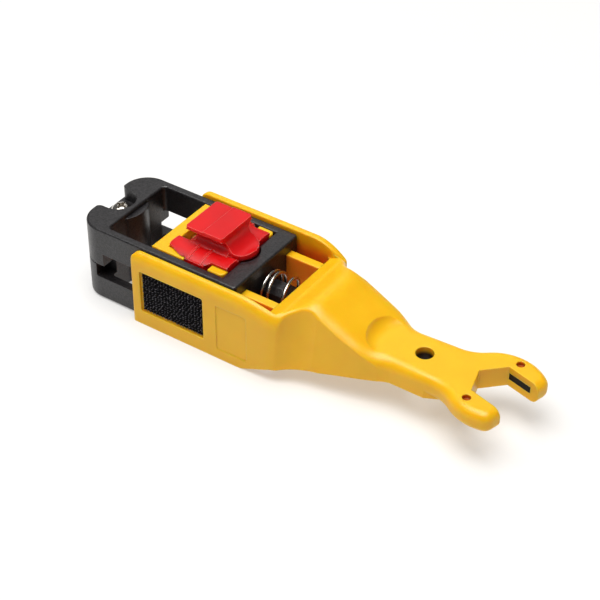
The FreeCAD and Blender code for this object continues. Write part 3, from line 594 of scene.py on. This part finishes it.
def coil_spring():
    """Round wire along a coil, whose turn t runs from 0 to the number of turns.

    x = start + dead pitch * min(t, dead turns) + live pitch * max(t - dead turns, 0), y = R sin(2 pi t) and
    z = axis - R cos(2 pi t).
    """
    wire, mean_radius = 0.0008, 0.0045
    turns, dead_turns, dead_pitch = 3, 1.5, 0.0012
    front_x, rear_x, axis_z = -0.0106746, -0.0021746, 0.012025
    seat_gap = 0.00003
    steps_per_turn, sides = 96, 16
    length = rear_x - front_x
    start = front_x + seat_gap + wire / 2
    live_pitch = (length - wire - 2 * seat_gap - dead_pitch * dead_turns) / (turns - dead_turns)
    t = np.linspace(0.0, turns, steps_per_turn * turns + 1)
    path = np.stack([
        start + dead_pitch * np.minimum(t, dead_turns) + live_pitch * np.maximum(t - dead_turns, 0.0),
        mean_radius * np.sin(2.0 * np.pi * t),
        axis_z - mean_radius * np.cos(2.0 * np.pi * t),
    ], axis=-1)[None]
    direction = np.gradient(path, axis=1)
    direction /= np.linalg.norm(direction, axis=2, keepdims=True)
    out = np.cross((1.0, 0.0, 0.0), direction)
    out /= np.linalg.norm(out, axis=2, keepdims=True)
    over = np.cross(out, direction)
    turn = np.linspace(0.0, 2.0 * np.pi, sides, endpoint=False)[:, None]
    spread = np.cos(turn) * out[:, :, None] + np.sin(turn) * over[:, :, None]
    rings = path[:, :, None] + 0.5 * wire * spread
    piece = mesh_piece("coil_spring", rings, tube_faces(1, len(t), sides), spring_steel, True)
    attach(piece, "frame")
    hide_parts("return_spring")
    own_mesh(piece)


coil_spring()


# Blade retainer: a glossy red moulding with a waisted grip. It drops into the tray, backs the blades there
# and is pulled straight out by the grip when they are changed.
# Its edge colour is a painted highlight, a pale pink on every corner.
red_moulding, red_shader = moulding(
    "red_moulding", tones=((0.60, 0.008, 0.011), (0.66, 0.010, 0.013)), edge=(0.85, 0.20, 0.18),
    roughness=(0.28, 0.38), grain_per_metre=3000.0, grain_depth=0.025, corner_radius=0.00028)
let_light_in(red_shader, weight=0.70, radius=(1.0, 0.10, 0.08), scale=0.0032)
dress("blade_retainer", red_moulding)


# Studio: a plain pale table under one broad soft lamp overhead, with a faint lamp behind on the left.
# The table glows with painted light of its own, fainter near the tool and paler away from it, until it meets
# a white backdrop.
def table_top():
    """Flat table top, a square grid at height zero, with a painted glow of its own that grows with the
    distance.
    """
    half, lines = 1.6, 9
    glow_near, glow_far = 0.20, 0.80
    span = np.linspace(-half, half, lines)
    x, y = np.meshgrid(span, span, indexing="ij")
    points = np.stack([x, y, np.zeros_like(x)], axis=-1)
    faces = grid_faces(np.arange(lines * lines).reshape(lines, lines)).tolist()
    material, tree, shader = new_finish("white_table")
    place = new_node(tree, "ShaderNodeTexCoord")
    uneven = new_node(tree, "ShaderNodeTexNoise", {"Vector": place.outputs["Object"], "Scale": 6.0})
    tint(tree, uneven.outputs["Fac"], ((0.49, 0.49, 0.49), (0.51, 0.51, 0.51)), shader)
    shader.inputs["Roughness"].default_value = 0.7
    shader.inputs["Specular IOR Level"].default_value = 0.2
    distance = new_node(tree, "ShaderNodeVectorMath", {0: place.outputs["Object"]}, operation="LENGTH")
    reach = new_node(tree, "ShaderNodeMapRange", {
        "Value": distance.outputs["Value"], "From Min": glow_near, "From Max": glow_far},
        interpolation_type="SMOOTHSTEP")
    glow = new_node(tree, "ShaderNodeMix", {
        "Factor": reach.outputs["Result"], "A": (0.33, 0.325, 0.32, 1.0), "B": (0.85, 0.85, 0.85, 1.0)},
        data_type="RGBA")
    feed(tree, glow.outputs["Result"], shader.inputs["Emission Color"])
    shader.inputs["Emission Strength"].default_value = 1.0
    floor = mesh_piece("table_top", points, faces, material, False)


table_top()


def stand(name, data, right, up, back, place):
    """Lamp or camera in the scene at a place, turned by its three directions."""
    holder = bpy.data.objects.new(name, data)
    matrix = np.eye(4)
    matrix[:3] = np.stack([right, up, back, place], axis=1)
    holder.matrix_world = Matrix(matrix.tolist())
    bpy.context.scene.collection.objects.link(holder)
    return holder


def soft_light(name, place, size, power, colour):
    """Square lamp at a place, turned to face the origin."""
    data = bpy.data.lights.new(name, "AREA")
    data.shape = "SQUARE"
    data.size = size
    data.energy = power
    data.color = colour
    back = np.array(place) / np.linalg.norm(place)
    right = np.cross((0.0, 0.0, 1.0), back)
    right /= np.linalg.norm(right)
    stand(name, data, right, np.cross(back, right), back, place)


soft_light("key_light", (-0.05, -0.10, 0.80), size=0.70, power=7.9, colour=(1.0, 0.99, 0.97))
soft_light("back_light", (-0.35, 0.52, 0.50), size=0.50, power=0.4, colour=(1.0, 0.99, 0.98))

white = (1.0, 1.0, 1.0, 1.0)
world = bpy.data.worlds.new("pale_surround")
world.use_nodes = True
sky = world.node_tree
sky.nodes.clear()
fill_light = new_node(sky, "ShaderNodeBackground", {"Color": white, "Strength": 0.12})
backdrop = new_node(sky, "ShaderNodeBackground", {"Color": white, "Strength": 0.90})
ray = new_node(sky, "ShaderNodeLightPath")
choice = new_node(sky, "ShaderNodeMixShader", {
    "Fac": ray.outputs["Is Camera Ray"],
    1: fill_light.outputs["Background"], 2: backdrop.outputs["Background"]})
new_node(sky, "ShaderNodeOutputWorld", {"Surface": choice.outputs["Shader"]})
bpy.context.scene.world = world
bpy.context.scene.view_settings.view_transform = "Standard"
bpy.context.scene.view_settings.look = "Medium High Contrast"


def photo_camera():
    """Camera at the photograph's place: back along azimuth and elevation from the aim, with a slight roll."""
    azimuth, elevation, roll = np.radians((34.155, 38.269, 0.424))
    distance = 0.37003
    aim = np.array((-0.0053346, 0.004859, 0.008))
    focal_pixels, image_pixels, sensor_width = 1678.02, 600.0, 36.0
    level = np.array((np.cos(azimuth), np.sin(azimuth), 0.0))
    back = np.array((np.sin(azimuth) * np.cos(elevation),
                     -np.cos(azimuth) * np.cos(elevation),
                     np.sin(elevation)))
    rise = np.cross(back, level)
    right = level * np.cos(roll) + rise * np.sin(roll)
    up = rise * np.cos(roll) - level * np.sin(roll)
    data = bpy.data.cameras.new("photo_camera")
    data.sensor_width = sensor_width
    data.lens = focal_pixels * sensor_width / image_pixels
    data.clip_start = 0.01
    data.clip_end = 20.0
    bpy.context.scene.camera = stand("photo_camera", data, right, up, back, aim + back * distance)


photo_camera()
